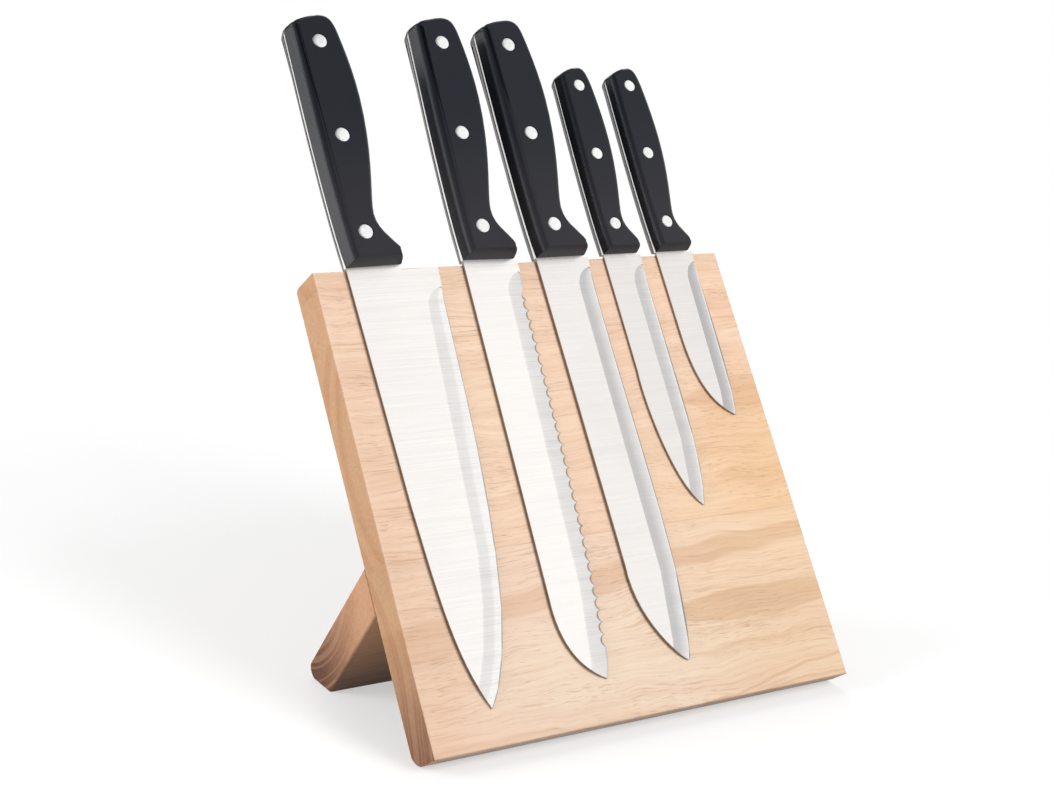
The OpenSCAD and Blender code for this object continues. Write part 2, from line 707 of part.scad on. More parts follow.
function scale_points(k) =
    let (
        rim = scale_rim(k),
        insets = [for (i = [0 : len(rim) - 1]) rim_inset(k, rim, i)]
    )
    [for (row = rise_table) for (i = [0 : len(rim) - 1])
        let (inset = insets[i], share = row[1] + (row[2] - row[1]) * inset[2])
        [
            rim[i][0] + inset[0] * share,
            rim[i][1] + inset[1] * share,
            row[0] * k[HANDLE][SCALE_T]
        ]];

// A scale that lies on z = 0 and rises towards +z, drilled and counterbored for the rivets
module scale_solid(k) {
    h = k[HANDLE];
    n = len(scale_rim(k));
    last = len(rise_table) - 1;
    difference() {
        polyhedron(
            points = scale_points(k),
            faces = concat(
                [[for (i = [0 : n - 1]) i]],
                [for (r = [0 : last - 1]) for (i = [0 : n - 1]) for (half = [0, 1])
                    let (a = r * n + i, b = r * n + (i + 1) % n, c = b + n, d = a + n)
                    half == 0 ? [a, c, b] : [a, d, c]],
                [[for (i = [n - 1 : -1 : 0]) last * n + i]]
            )
        );
        for (place = rivet_places(h)) translate([place[0], place[1], 0]) {
            translate([0, 0, -past]) cylinder(r = shank_r + let_in, h = h[SCALE_T] + 2 * past);
            translate([0, 0, h[SCALE_T] - rivet_head_t])
                cylinder(r = h[RIVET_R] + let_in / 2, h = rivet_head_t + past);
        }
    }
}

module front_scale(k) {
    color(black) on_knife(k) translate([0, 0, k[THICK]]) scale_solid(k);
}

module back_scale(k) {
    color(black) on_knife(k) mirror([0, 0, 1]) scale_solid(k);
}

module rivets(k) {
    h = k[HANDLE];
    color("white") on_knife(k)
        for (place = rivet_places(h)) translate([place[0], place[1], -h[SCALE_T]]) {
            cylinder(r = h[RIVET_R], h = rivet_head_t);
            cylinder(r = shank_r, h = k[THICK] + 2 * h[SCALE_T]);
            translate([0, 0, k[THICK] + 2 * h[SCALE_T] - rivet_head_t])
                cylinder(r = h[RIVET_R], h = rivet_head_t);
        }
}

front_board();
rear_leg();
cover(row_s[0]);  // upper_cover
cover(row_s[1]);  // lower_cover
keeper(row_s[0]);  // upper_keeper
keeper(row_s[1]);  // lower_keeper
magnets(row_s[0]);  // upper_magnets
magnets(row_s[1]);  // lower_magnets
board_leaf(-1);  // left_hinge_board_leaf
leg_leaf(-1);  // left_hinge_leg_leaf
hinge_pin(-1);  // left_hinge_pin
board_leaf(1);  // right_hinge_board_leaf
leg_leaf(1);  // right_hinge_leg_leaf
hinge_pin(1);  // right_hinge_pin
board_screws();
leg_screws();
on_knife(chef) blade(chef);  // chef_blade
front_scale(chef);  // chef_front_scale
back_scale(chef);  // chef_back_scale
rivets(chef);  // chef_rivets
on_knife(bread) difference() { blade(bread); scallops(bread); }  // bread_blade
front_scale(bread);  // bread_front_scale
back_scale(bread);  // bread_back_scale
rivets(bread);  // bread_rivets
on_knife(slicer) blade(slicer);  // slicer_blade
front_scale(slicer);  // slicer_front_scale
back_scale(slicer);  // slicer_back_scale
rivets(slicer);  // slicer_rivets
on_knife(utility) blade(utility);  // utility_blade
front_scale(utility);  // utility_front_scale
back_scale(utility);  // utility_back_scale
rivets(utility);  // utility_rivets
on_knife(paring) blade(paring);  // paring_blade
front_scale(paring);  // paring_front_scale
back_scale(paring);  // paring_back_scale
rivets(paring);  // paring_rivets
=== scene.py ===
import json
import math

import bmesh
import bpy
from mathutils import Matrix, Vector

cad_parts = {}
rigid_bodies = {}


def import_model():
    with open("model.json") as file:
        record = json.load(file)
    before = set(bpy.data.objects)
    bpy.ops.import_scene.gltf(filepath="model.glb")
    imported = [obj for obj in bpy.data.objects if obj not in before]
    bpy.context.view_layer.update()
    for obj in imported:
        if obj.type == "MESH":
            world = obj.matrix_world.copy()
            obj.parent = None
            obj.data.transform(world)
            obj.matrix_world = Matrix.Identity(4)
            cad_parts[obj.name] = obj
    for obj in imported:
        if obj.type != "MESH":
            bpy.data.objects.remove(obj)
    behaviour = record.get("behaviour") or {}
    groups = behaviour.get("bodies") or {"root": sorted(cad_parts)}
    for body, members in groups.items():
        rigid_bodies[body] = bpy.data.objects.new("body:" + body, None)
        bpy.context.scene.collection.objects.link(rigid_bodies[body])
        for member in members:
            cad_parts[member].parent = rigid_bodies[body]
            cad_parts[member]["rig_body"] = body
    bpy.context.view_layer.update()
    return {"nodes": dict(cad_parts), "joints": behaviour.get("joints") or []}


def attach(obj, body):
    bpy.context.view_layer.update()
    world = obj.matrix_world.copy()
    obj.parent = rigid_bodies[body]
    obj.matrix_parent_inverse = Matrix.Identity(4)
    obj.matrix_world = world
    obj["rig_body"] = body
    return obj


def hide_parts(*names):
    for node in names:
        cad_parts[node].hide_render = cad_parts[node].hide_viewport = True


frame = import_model()


# ---- The knife easel's lie ----
# The board leans back from the table, and each knife is pulled straight off its face. That pull gives the
# board's outward direction. Places are counted from the lower left corner of the board's face.
OUT = Vector(next(j["axis"] for j in frame["joints"] if j["name"] == "chef_pull"))
ACROSS = Vector((1, 0, 0))
UP = OUT.cross(ACROSS)                      # up the board's slope
LEAN = math.asin(OUT.z)                     # how far the board leans back from upright
FOLD = math.radians(next(j["range_deg"][1] for j in frame["joints"] if j["name"] == "leg_fold"))
LEG_SLOPE = math.pi / 2 + LEAN - FOLD       # slope of the leg from the table


def reach(points, direction):
    """Lowest and highest place of some points along a direction."""
    places = [p.dot(direction) for p in points]
    return min(places), max(places)


def points_of(node):
    return [v.co.copy() for v in frame["nodes"][node].data.vertices]


board_points = points_of("front_board")
LOWER_END, UPPER_END = reach(board_points, UP)
BACK_FACE, FRONT_FACE = reach(board_points, OUT)
BOARD_LEFT, BOARD_RIGHT = reach(board_points, ACROSS)
BOARD_W = BOARD_RIGHT - BOARD_LEFT
BOARD_H = UPPER_END - LOWER_END
CORNER = ACROSS * BOARD_LEFT + UP * LOWER_END + OUT * FRONT_FACE


# ---- Board, covers and leg ----
# The board is edge-glued rubberwood, its staves and grain running across, sanded, eased and oiled. Covers
# of the same wood close the magnets' slots in its back. The leg is a plank of the same stock, mitred at
# its top and cut level at its foot.
CREAM = (0.85, 0.64, 0.50, 1)
HONEY = (0.91, 0.715, 0.55, 1)
TAN = (0.70, 0.44, 0.30, 1)
STROKE = (0.54, 0.33, 0.21, 1)
PORE = (0.36, 0.20, 0.12, 1)
STREAK = (0.88, 0.81, 0.74, 1)               # what a darker band of heartwood leaves of the colour
SEAM_LINE = (0.62, 0.36, 0.20, 1)
PORE_LENGTH, PORE_WIDTH = 0.007, 0.00042
RING = 0.0043                                # one year's growth


def material(name, **constants):
    """A new material and its node tree and shader, with the constants set on the shader's own sockets."""
    made = bpy.data.materials.new(name)
    made.use_nodes = True
    shader = made.node_tree.nodes["Principled BSDF"]
    for socket, value in constants.items():
        shader.inputs[socket.replace("_", " ")].default_value = value
    return made, made.node_tree, shader


def feed(tree, socket, value):
    """Links a node's output to a socket, or writes a plain value into it."""
    if isinstance(value, bpy.types.NodeSocket):
        tree.links.new(value, socket)
    elif value is not None:
        socket.default_value = value


def maths(tree, operation, a, b=None):
    node = tree.nodes.new("ShaderNodeMath")
    node.operation = operation
    feed(tree, node.inputs[0], a)
    feed(tree, node.inputs[1], b)
    return node.outputs[0]


def plus(tree, a, b):
    return maths(tree, "ADD", a, b)


def minus(tree, a, b):
    return maths(tree, "SUBTRACT", a, b)


def times(tree, a, b):
    return maths(tree, "MULTIPLY", a, b)


def stretched(tree, vector, scale):
    """The coordinates, scaled along each axis."""
    node = tree.nodes.new("ShaderNodeVectorMath")
    node.operation = "MULTIPLY"
    feed(tree, node.inputs[0], vector)
    node.inputs[1].default_value = scale
    return node.outputs[0]


def noise(tree, vector, detail=2.0, roughness=0.5):
    node = tree.nodes.new("ShaderNodeTexNoise")
    feed(tree, node.inputs["Vector"], vector)
    node.inputs["Scale"].default_value = 1.0
    node.inputs["Detail"].default_value = detail
    node.inputs["Roughness"].default_value = roughness
    return node.outputs["Fac"]


def noise_along(tree, place, detail=2.0):
    """Noise along one number."""
    node = tree.nodes.new("ShaderNodeTexNoise")
    node.noise_dimensions = "1D"
    feed(tree, node.inputs["W"], place)
    node.inputs["Scale"].default_value = 1.0
    node.inputs["Detail"].default_value = detail
    return node.outputs["Fac"]


def spread(tree, value, low, high, to_low=0.0, to_high=1.0):
    """A value's stretch from low to high, brought smoothly to another one."""
    node = tree.nodes.new("ShaderNodeMapRange")
    node.interpolation_type = "SMOOTHSTEP"
    feed(tree, node.inputs["Value"], value)
    node.inputs["From Min"].default_value = low
    node.inputs["From Max"].default_value = high
    node.inputs["To Min"].default_value = to_low
    node.inputs["To Max"].default_value = to_high
    return node.outputs[0]


def blended(tree, share, first, second, kind="MIX"):
    node = tree.nodes.new("ShaderNodeMix")
    node.data_type = "RGBA"
    node.blend_type = kind
    feed(tree, node.inputs["Factor"], share)
    feed(tree, node.inputs["A"], first)
    feed(tree, node.inputs["B"], second)
    return node.outputs["Result"]


def steps(tree, place, stops):
    """Colour that changes at given places and is constant between them."""
    node = tree.nodes.new("ShaderNodeValToRGB")
    node.color_ramp.interpolation = "CONSTANT"
    feed(tree, node.inputs["Fac"], place)
    row = node.color_ramp.elements
    while len(row) > 1:
        row.remove(row[-1])
    for i, (start, colour) in enumerate(stops):
        stop = row[0] if i == 0 else row.new(start)
        stop.position = start
        stop.color = (*colour, 1)
    return node.outputs["Color"]


def parts(tree, vector):
    node = tree.nodes.new("ShaderNodeSeparateXYZ")
    feed(tree, node.inputs[0], vector)
    return node.outputs[0], node.outputs[1], node.outputs[2]


def bump(tree, height, strength, distance):
    node = tree.nodes.new("ShaderNodeBump")
    node.inputs["Strength"].default_value = strength
    node.inputs["Distance"].default_value = distance
    feed(tree, node.inputs["Height"], height)
    return node.outputs["Normal"]


def own_place(tree, turn, origin):
    """Object coordinates, turned about the across axis and counted from an origin: across, along, out."""
    source = tree.nodes.new("ShaderNodeTexCoord")
    node = tree.nodes.new("ShaderNodeMapping")
    rotation = Matrix.Rotation(turn, 3, "X")
    node.inputs["Rotation"].default_value = (turn, 0, 0)
    node.inputs["Location"].default_value = -(rotation @ Vector(origin))
    feed(tree, node.inputs["Vector"], source.outputs["Object"])
    return node.outputs["Vector"]


# Each stave: where it starts as a share of the height, then where its pith runs, then its tint. The pith's
# numbers are its place up the board, its place out of the face, and its slope across, 0.5 being none.
PITH_SPAN = 0.4                              # the stretch that a place from 0 to 1 stands for
PITH_SLOPES = 0.6                            # the range that a slope from 0 to 1 stands for
STAVES = [
    (0.000, (0.11, 0.27, 0.46), (1.00, 1.00, 1.00)),
    (0.386, (0.31, 0.64, 0.54), (1.01, 0.985, 0.95)),
    (0.840, (0.44, 0.42, 0.56), (1.01, 0.985, 0.96)),
    (0.958, (0.62, 0.62, 0.47), (0.97, 0.93, 0.88)),
]

# Bands of heartwood in the board's face, in millimetres: middle at the left side, rise over the width, half
# width, where it opens and is fully open, where it closes and is closed, softness of its edges, strength
FLAMES = [
    (51.0, 22.0, 5.6, -90, 0, 300, 400, 0.40, 0.85),
    (40.5, 0.0, 8.6, 95, 190, 190, 262, 0.14, 0.95),
    (47.0, -3.0, 13.0, -90, 0, 10, 38, 0.90, 0.60),
    (-12.5, 22.0, 0.9, 128, 150, 300, 400, 0.80, 0.90),
    (139.0, 0.0, 10.5, 168, 196, 300, 400, 0.45, 0.70),
    (186.0, 0.0, 12.0, 200, 214, 300, 400, 0.50, 0.60),
    (103.0, 0.0, 6.0, 176, 200, 300, 400, 0.80, 0.50),
    (21.0, 2.0, 3.6, 128, 165, 300, 400, 0.90, 0.40),
    (1.0, 0.0, 1.6, -90, 0, 300, 400, 0.90, 0.60),
]

# Wider changes of colour: middle across and up, reach across and up, in millimetres, and what is left
PATCHES = [
    ((0, 44), (34, 62), (0.95, 0.91, 0.87, 1)),
    ((214, 118), (52, 58), (0.985, 0.93, 0.84, 1)),
    ((220, 60), (110, 105), (0.985, 0.98, 0.88, 1)),
    ((205, 22), (100, 46), (0.955, 0.955, 0.95, 1)),
    ((205, 200), (46, 36), (1.05, 1.04, 1.02, 1)),
    ((96, 22), (84, 44), (0.99, 1.055, 1.055, 1)),
    ((70, 160), (60, 90), (1.03, 1.06, 1.06, 1)),
    ((3, 120), (16, 70), (0.975, 0.965, 0.955, 1)),
]


def joined_by(tree, operation, values):
    """The values joined by one operation, such as the largest of them."""
    result = values[0]
    for value in values[1:]:
        result = maths(tree, operation, result, value)
    return result


def flame(tree, across, along, row):
    """How far a point is inside one band of heartwood."""
    middle, rise, half, opens, opened, closes, closed, soft, strength = row
    line = plus(tree, times(tree, across, rise / 1000 / BOARD_W), middle / 1000)
    width = times(tree, spread(tree, across, opens / 1000, opened / 1000),
                  spread(tree, across, closes / 1000, closed / 1000, 1.0, 0.0))
    width = maths(tree, "MAXIMUM", times(tree, width, half / 1000), 1e-5)
    off = maths(tree, "DIVIDE", maths(tree, "ABSOLUTE", minus(tree, along, line)), width)
    return spread(tree, off, 1 - soft, 1.0 + soft / 4, strength, 0.0)


def patch(tree, across, along, middle, size):
    """How near a point is to the middle of an oval patch, from 1 there to 0 at its rim."""
    over = times(tree, minus(tree, across, middle[0] / 1000), 1000 / size[0])
    up = times(tree, minus(tree, along, middle[1] / 1000), 1000 / size[1])
    out = plus(tree, times(tree, over, over), times(tree, up, up))
    return spread(tree, out, 0.0, 1.0, 1.0, 0.0)


def wavered(tree, here):
    """The height and the place at which wavering grain is read, both shifted up or down a little."""
    across, along, out = parts(tree, here)
    sway = times(tree, minus(tree, noise(tree, stretched(tree, here, (11, 17, 14)), 2), 0.5), 0.014)
    ripple = times(tree, minus(tree, noise(tree, stretched(tree, here, (55, 40, 40)), 1), 0.5), 0.0035)
    grain = plus(tree, along, plus(tree, sway, ripple))
    join = tree.nodes.new("ShaderNodeCombineXYZ")
    for socket, value in zip(join.inputs, (across, grain, out)):
        feed(tree, socket, value)
    return grain, join.outputs[0]


def growth_rings(tree, across, grain, out, pith):
    """Rings round the pith: thin darker lines where each year's growth ends, and slower bands of colour."""
    pith_along, pith_out, pith_slope = parts(tree, pith)
    rise = times(tree, across, times(tree, minus(tree, pith_slope, 0.5), PITH_SLOPES))
    off_along = minus(tree, plus(tree, grain, rise), times(tree, pith_along, PITH_SPAN))
    off_out = minus(tree, out, times(tree, minus(tree, pith_out, 0.5), PITH_SPAN))
    radius = maths(tree, "SQRT", plus(tree, times(tree, off_along, off_along), times(tree, off_out, off_out)))
    years = maths(tree, "DIVIDE", radius, RING)
    years = plus(tree, years, times(tree, noise_along(tree, times(tree, years, 0.7)), 1.6))
    season = maths(tree, "FRACT", years)
    late = times(tree, spread(tree, season, 0.45, 0.93), spread(tree, season, 0.93, 1.0, 1.0, 0.0))
    band = spread(tree, noise_along(tree, times(tree, radius, 95), 1), 0.46, 0.66)
    return late, band


def pores(tree, here, swayed):
    """Dark strokes, fine pores and coarse flecks: long across the board, and more of them in some areas."""
    crowd = spread(tree, noise(tree, stretched(tree, here, (13, 48, 48)), 2), 0.36, 0.64)
    bundle = spread(tree, noise(tree, stretched(tree, here, (9, 75, 60)), 2), 0.40, 0.62)
    long = noise(tree, stretched(tree, swayed, (48, 1150, 1150)), 2, 0.6)
    fine = noise(tree, stretched(tree, swayed, (1 / PORE_LENGTH, 1 / PORE_WIDTH, 1 / PORE_WIDTH)), 1)
    coarse = noise(tree, stretched(tree, swayed, (210, 1500, 1500)), 1)
    stroke = spread(tree, plus(tree, long, times(tree, bundle, 0.10)), 0.61, 0.75)
    pore = spread(tree, plus(tree, fine, times(tree, crowd, 0.10)), 0.68, 0.80)
    fleck = spread(tree, plus(tree, coarse, times(tree, crowd, 0.08)), 0.82, 0.90)
    return stroke, pore, fleck


def end_grain(tree, here, colour, band, tint):
    """The colour on end grain, which takes up more oil: darker, blotched, and banded more strongly. Its tint
    also carries the painted shade at the low end.
    """
    colour = blended(tree, 1.0, colour, tint, "MULTIPLY")
    blotch = spread(tree, noise(tree, stretched(tree, here, (90, 90, 90)), 2), 0.4, 0.7, 0.0, 0.35)
    colour = blended(tree, blotch, colour, (0.90, 0.84, 0.80, 1), "MULTIPLY")
    return blended(tree, times(tree, band, 0.45), colour, (0.86, 0.76, 0.70, 1), "MULTIPLY")


def wood(name, turn, origin, span, staves, flames=(), patches=(), end_tint=(0.80, 0.655, 0.495, 1),
         end_shade_low=(0.33, 0.21, 0.145, 1), low=(0.06, 0.0), face_shade_low=(1, 1, 1, 1)):
    """Oiled rubberwood whose growth rings, fibres and pores run through the piece as they do in a plank.

    The tints are what end grain leaves of the colour, and the painted shade left of it on end grain and face
    at the low end, which comes on between the two places that low gives."""
    made, tree, shader = material(name, Specular_IOR_Level=0.3)
    here = own_place(tree, turn, origin)
    across, along, out = parts(tree, here)
    grain, swayed = wavered(tree, here)
    stave = maths(tree, "DIVIDE", along, span)
    pith = steps(tree, stave, [(start, place) for start, place, _ in staves])
    tint = steps(tree, stave, [(start, colour) for start, _, colour in staves])
    late, band = growth_rings(tree, across, grain, out, pith)
    fibre = noise(tree, stretched(tree, swayed, (20, 560, 560)), 4, 0.72)
    streaks = noise(tree, stretched(tree, swayed, (14, 230, 230)), 2, 0.5)
    cloud = noise(tree, stretched(tree, here, (7, 26, 26)), 2)
    stroke, pore, fleck = pores(tree, here, swayed)

    colour = blended(tree, times(tree, band, 0.20), CREAM, TAN)
    colour = blended(tree, spread(tree, cloud, 0.35, 0.7, 0.0, 0.28), colour, HONEY)
    colour = blended(tree, spread(tree, fibre, 0.40, 0.66, 0.0, 0.34), colour, TAN)
    colour = blended(tree, spread(tree, streaks, 0.52, 0.70, 0.0, 0.16), colour, TAN)
    colour = blended(tree, 1.0, colour, tint, "MULTIPLY")
    for middle, size, left in patches:
        colour = blended(tree, patch(tree, across, along, middle, size), colour, left, "MULTIPLY")
    if flames:
        inside = joined_by(tree, "MAXIMUM", [flame(tree, across, grain, row) for row in flames])
        colour = blended(tree, inside, colour, STREAK, "MULTIPLY")
    for mark, share, dark in ((stroke, 0.42, STROKE), (pore, 0.42, PORE), (fleck, 0.60, PORE)):
        colour = blended(tree, times(tree, mark, share), colour, dark)

    facing = tree.nodes.new("ShaderNodeTexCoord")
    end = spread(tree, maths(tree, "ABSOLUTE", parts(tree, facing.outputs["Normal"])[0]), 0.6, 0.95)
    # Painted shade: towards the low end, end grain and face are darkened by the low tints
    low_shade = spread(tree, along, *low)
    on_end = end_grain(tree, here, colour, band, blended(tree, low_shade, end_tint, end_shade_low))
    colour = blended(tree, low_shade, colour, face_shade_low, "MULTIPLY")
    colour = blended(tree, end, colour, on_end)
    ring_share = times(tree, late, plus(tree, times(tree, end, 0.20), 0.12))
    colour = blended(tree, ring_share, colour, SEAM_LINE)
    if len(staves) > 1:
        gaps = [maths(tree, "ABSOLUTE", minus(tree, along, start * span)) for start, _, _ in staves[1:]]
        seam = spread(tree, joined_by(tree, "MINIMUM", gaps), 0.00012, 0.0004, 1.0, 0.0)
        colour = blended(tree, times(tree, seam, 0.42), colour, SEAM_LINE)
    feed(tree, shader.inputs["Base Color"], colour)
    feed(tree, shader.inputs["Roughness"], spread(tree, fibre, 0.3, 0.8, 0.48, 0.64))
    dents = times(tree, maths(tree, "MAXIMUM", pore, fleck), -1.0)
    relief = plus(tree, dents, times(tree, fibre, 0.25))
    feed(tree, shader.inputs["Normal"], bump(tree, relief, 0.3, 0.0002))
    return made


def finished(obj, name):
    """A plain mesh object with its modifiers worked out, linked under a name."""
    graph = bpy.context.evaluated_depsgraph_get()
    mesh = bpy.data.meshes.new_from_object(obj.evaluated_get(graph), depsgraph=graph)
    bpy.data.objects.remove(obj)
    mesh.name = name
    made = bpy.data.objects.new(name, mesh)
    bpy.context.collection.objects.link(made)
    return made


def merged(node):
    """A copy of a CAD node's loose triangles as one joined bmesh."""
    joined = bmesh.new()
    joined.from_mesh(frame["nodes"][node].data)
    bmesh.ops.remove_doubles(joined, verts=joined.verts, dist=1e-6)
    return joined


def dressed(node, name, finish, ease=0.0, sharp=30.0, reshape=None):
    """A CAD node's shape with its edges eased and its curves shaded smooth, in place of the node."""
    joined = merged(node)
    if reshape:
        reshape(joined)
    bmesh.ops.dissolve_limit(joined, angle_limit=math.radians(0.3), verts=joined.verts, edges=joined.edges)
    joined.normal_update()
    eased = joined.edges.layers.float.new("bevel_weight_edge")
    for edge in joined.edges:
        crisp = edge.calc_face_angle(0.0) > math.radians(sharp)
        edge.smooth = not crisp
        edge[eased] = 1.0 if crisp else 0.0
    mesh = bpy.data.meshes.new(name)
    joined.to_mesh(mesh)
    joined.free()
    mesh.materials.clear()
    mesh.materials.append(finish)
    mesh.shade_smooth()
    work = bpy.data.objects.new(name + "_work", mesh)
    bpy.context.collection.objects.link(work)
    if ease:
        bevel = work.modifiers.new("ease", "BEVEL")
        bevel.width = ease
        bevel.segments = 2
        bevel.limit_method = "WEIGHT"
        bevel.use_clamp_overlap = True
    weighted = work.modifiers.new("shade", "WEIGHTED_NORMAL")
    weighted.keep_sharp = True
    weighted.weight = 100
    return in_place(finished(work, name), node)


def in_place(piece, node):
    """The piece rides with the node's body and stands for it, the node hidden."""
    row = frame["nodes"][node]
    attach(piece, row["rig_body"])
    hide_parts(node)
    return piece


# The board's end grain is darkened towards its foot as painted shade near the floor
board_wood = wood("board_wood", LEAN - math.pi / 2, CORNER, BOARD_H, STAVES, FLAMES, PATCHES)
COVER_STAVE = [(0.0, (0.35, 0.3, 0.5), (0.95, 0.91, 0.88))]
cover_wood = wood("cover_wood", LEAN - math.pi / 2, CORNER + UP * 0.03, BOARD_H, COVER_STAVE)
dressed("front_board", "board", board_wood)
dressed("upper_cover", "upper_slot_cover", cover_wood, ease=0.0002)
dressed("lower_cover", "lower_slot_cover", cover_wood, ease=0.0002)

leg_joint = next(j for j in frame["joints"] if j["name"] == "leg_fold")
DOWN_LEG = Vector((0, math.cos(LEG_SLOPE), -math.sin(LEG_SLOPE)))
LEG_FOOT = reach([p - Vector(leg_joint["pos_m"]) for p in points_of("rear_leg")], DOWN_LEG)[1]
LEG_STAVE = [(0.0, (0.10, 0.64, 0.56), (1.04, 0.80, 0.61))]
# The leg darkens towards its foot as painted shade, its broad face most, as the painted shadow beneath the
# board
leg_wood = wood("leg_wood", LEG_SLOPE, leg_joint["pos_m"], BOARD_H, LEG_STAVE,
                end_tint=(0.79, 0.75, 0.73, 1), end_shade_low=(0.14, 0.070, 0.040, 1), low=(0.0, LEG_FOOT),
                face_shade_low=(0.17, 0.155, 0.14, 1))
dressed("rear_leg", "leg", leg_wood, ease=0.0008)


# ---- Magnets and keepers ----
# Nickel-plated square magnets lie behind a skin of wood in two rows, each row backed by a steel keeper strip.
def metal(name, colour, roughness, grain, depth=0.00003, mottle=0.08):
    """Metal with a worked grain: fine marks stretched as grain says, and slow cloudy changes."""
    made, tree, shader = material(name, Metallic=1.0)
    here = own_place(tree, LEAN - math.pi / 2, CORNER)
    marks = noise(tree, stretched(tree, here, grain), 3, 0.65)
    clouds = noise(tree, stretched(tree, here, (60, 60, 60)), 3)
    dull = tuple(c * 0.82 for c in colour[:3]) + (1,)
    worn = spread(tree, clouds, 0.35, 0.65, 0.0, mottle)
    share = plus(tree, spread(tree, marks, 0.3, 0.7, 0.0, 0.5), worn)
    feed(tree, shader.inputs["Base Color"], blended(tree, share, colour, dull))
    feed(tree, shader.inputs["Roughness"], spread(tree, marks, 0.3, 0.7, roughness - 0.05, roughness + 0.07))
    feed(tree, shader.inputs["Normal"], bump(tree, marks, 0.3, depth))
    return made


nickel = metal("nickel_plating", (0.80, 0.78, 0.74, 1), 0.22, (300, 300, 300))
keeper_steel = metal("keeper_steel", (0.52, 0.52, 0.53, 1), 0.42, (40, 1500, 1500))


def refinish(node, finish):
    """A CAD node keeps its mesh and takes a finish."""
    slots = frame["nodes"][node].material_slots
    for slot in slots:
        slot.material = finish
    if not slots:
        frame["nodes"][node].data.materials.append(finish)


for height in ("upper", "lower"):
    refinish(height + "_magnets", nickel)
    refinish(height + "_keeper", keeper_steel)


# ---- Hinges and their screws ----
# Two zinc-plated butt hinges join the leg to the board's back. Their leaves are let in flush, and each is
# held by two countersunk cross-head screws.
zinc = metal("zinc_plating", (0.70, 0.71, 0.72, 1), 0.34, (500, 900, 500), mottle=0.35)
pin_steel = metal("pin_steel", (0.62, 0.62, 0.63, 1), 0.3, (900, 200, 200))
for side in ("left", "right"):
    for leaf in ("board_leaf", "leg_leaf"):
        dressed(f"{side}_hinge_{leaf}", f"{side}_{leaf}", zinc, ease=0.00012)
    dressed(f"{side}_hinge_pin", f"{side}_pin", pin_steel, ease=0.00015)


def solids_of(node):
    """The points of each separate solid of a CAD node."""
    joined = merged(node)
    left = set(joined.verts)
    found = []
    while left:
        group = {left.pop()}
        newest = set(group)
        while newest:
            newest = {e.other_vert(v) for v in newest for e in v.link_edges} - group
            group |= newest
        left -= group
        found.append([v.co.copy() for v in group])
    joined.free()
    return sorted(found, key=lambda points: [round(c, 5) for c in sum(points, Vector()) / len(points)])


def sized_tree(name, sizes):
    """An empty Geometry Nodes tree with a geometry input and a named input for each size."""
    tree = bpy.data.node_groups.new(name, "GeometryNodeTree")
    tree.interface.new_socket("Geometry", in_out="INPUT", socket_type="NodeSocketGeometry")
    tree.interface.new_socket("Geometry", in_out="OUTPUT", socket_type="NodeSocketGeometry")
    for label, kind in sizes.items():
        tree.interface.new_socket(label, in_out="INPUT", socket_type=kind)
    given = tree.nodes.new("NodeGroupInput")
    result = tree.nodes.new("NodeGroupOutput")
    return tree, given.outputs, result.inputs[0]


def geo(tree, kind, settings=None, **values):
    """A geometry node with its settings made and its inputs fed, an underscore standing for a space."""
    node = tree.nodes.new(kind)
    for key, value in (settings or {}).items():
        setattr(node, key, value)
    for label, value in values.items():
        feed(tree, node.inputs[label.replace("_", " ")], value)
    return node


def grown(tree, name, points, finish, sizes):
    """The tree's result on some points, as a plain mesh object."""
    mesh = bpy.data.meshes.new(name)
    mesh.from_pydata(points, [], [])
    work = bpy.data.objects.new(name + "_work", mesh)
    bpy.context.collection.objects.link(work)
    modifier = work.modifiers.new("build", "NODES")
    modifier.node_group = tree
    inputs = {item.name: item.identifier for item in tree.interface.items_tree if item.in_out == "INPUT"}
    for label, value in {**sizes, "Finish": finish}.items():
        modifier[inputs[label]] = value
    return finished(work, name)


FLOAT, VECTOR, FINISH = "NodeSocketFloat", "NodeSocketVector", "NodeSocketMaterial"


def instanced(tree, given, shape, result):
    """Puts a shape on each point, turned to the axis, and ends the tree as plain geometry with its finish."""
    turn = geo(tree, "FunctionNodeAlignRotationToVector", {"axis": "Z"}, Vector=given["Axis"])
    placed = geo(tree, "GeometryNodeInstanceOnPoints", Points=given["Geometry"], Instance=shape,
                 Rotation=turn.outputs[0])
    real = geo(tree, "GeometryNodeRealizeInstances", Geometry=placed.outputs[0])
    smooth = geo(tree, "GeometryNodeSetShadeSmooth", Geometry=real.outputs[0])
    painted = geo(tree, "GeometryNodeSetMaterial", Geometry=smooth.outputs[0], Material=given["Finish"])
    feed(tree, result, painted.outputs[0])


